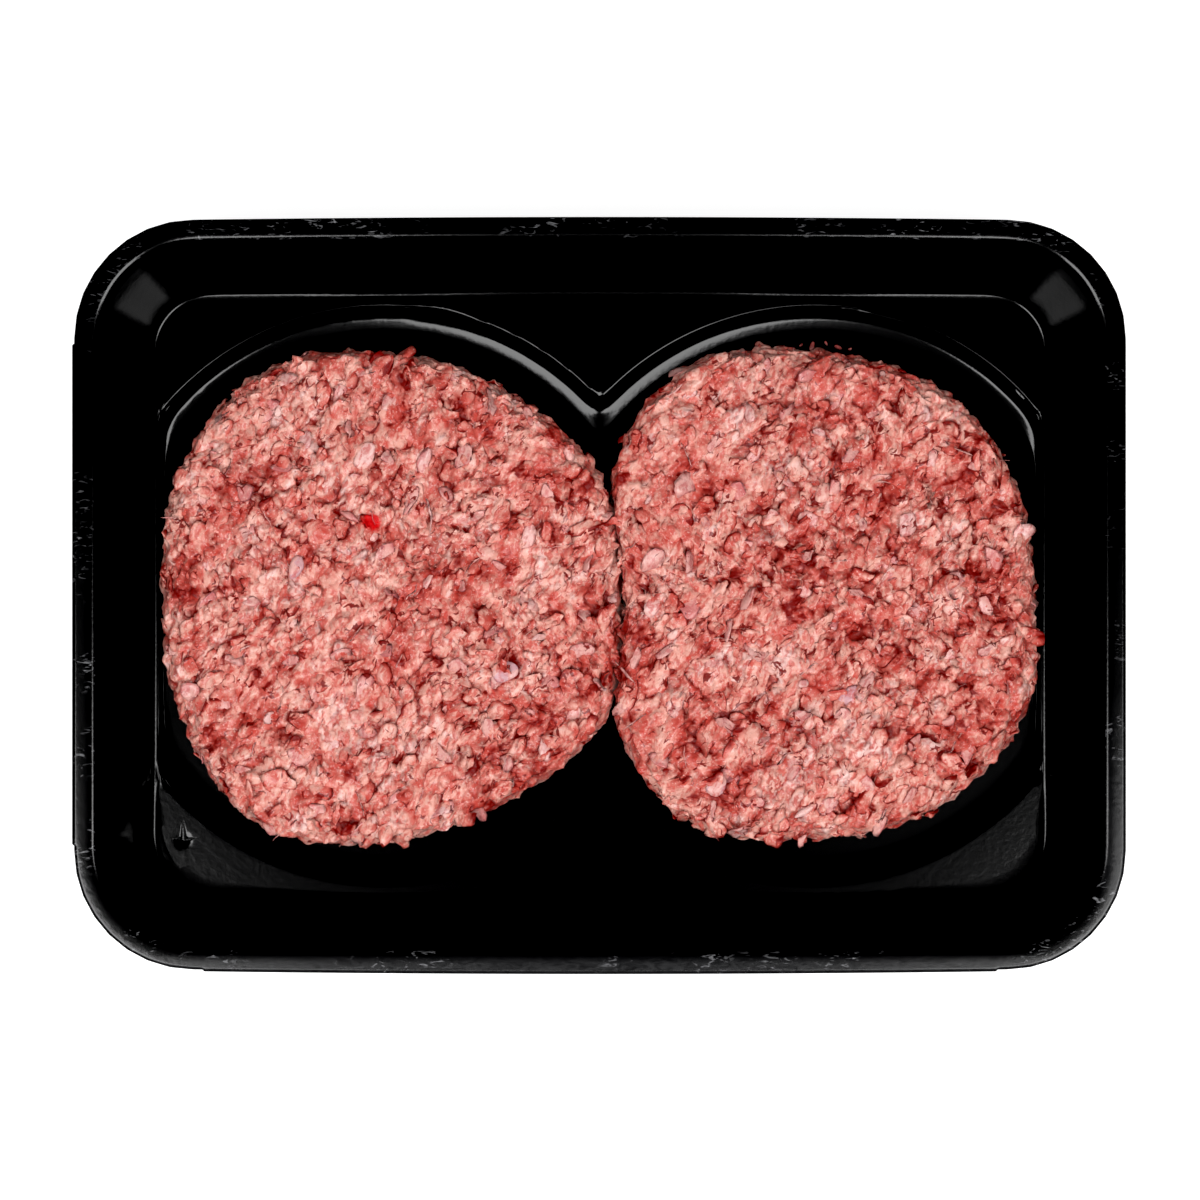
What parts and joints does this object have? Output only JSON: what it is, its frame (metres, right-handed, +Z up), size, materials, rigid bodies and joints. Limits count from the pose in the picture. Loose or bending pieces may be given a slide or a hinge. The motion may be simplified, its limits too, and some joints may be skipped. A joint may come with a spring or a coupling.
{
  "type": "meat tray pack",
  "caption": "Open black plastic meat tray with round wells, holding raw coarse-minced beef patties side by side, for display on a shelf or worktop.",
  "frame": {"origin": "middle of the pack's box at its lowest level, the underside of the tray's wells", "axes": "+X along the tray's long side towards the patty that is partly covered, +Y across the tray towards its back, +Z up"},
  "size_m": [0.2304, 0.1656, 0.0335],
  "materials": {
    "tray_plastic": "black thermoformed sheet, satin with a fine orange-peel texture",
    "raw_mince": "moist raw coarse-minced beef, red lean and pale pink fat"
  },
  "bodies": {
    "root": {"tray": "tray_plastic", "patty_left": "raw_mince", "patty_right": "raw_mince"}
  },
  "joints": []
}
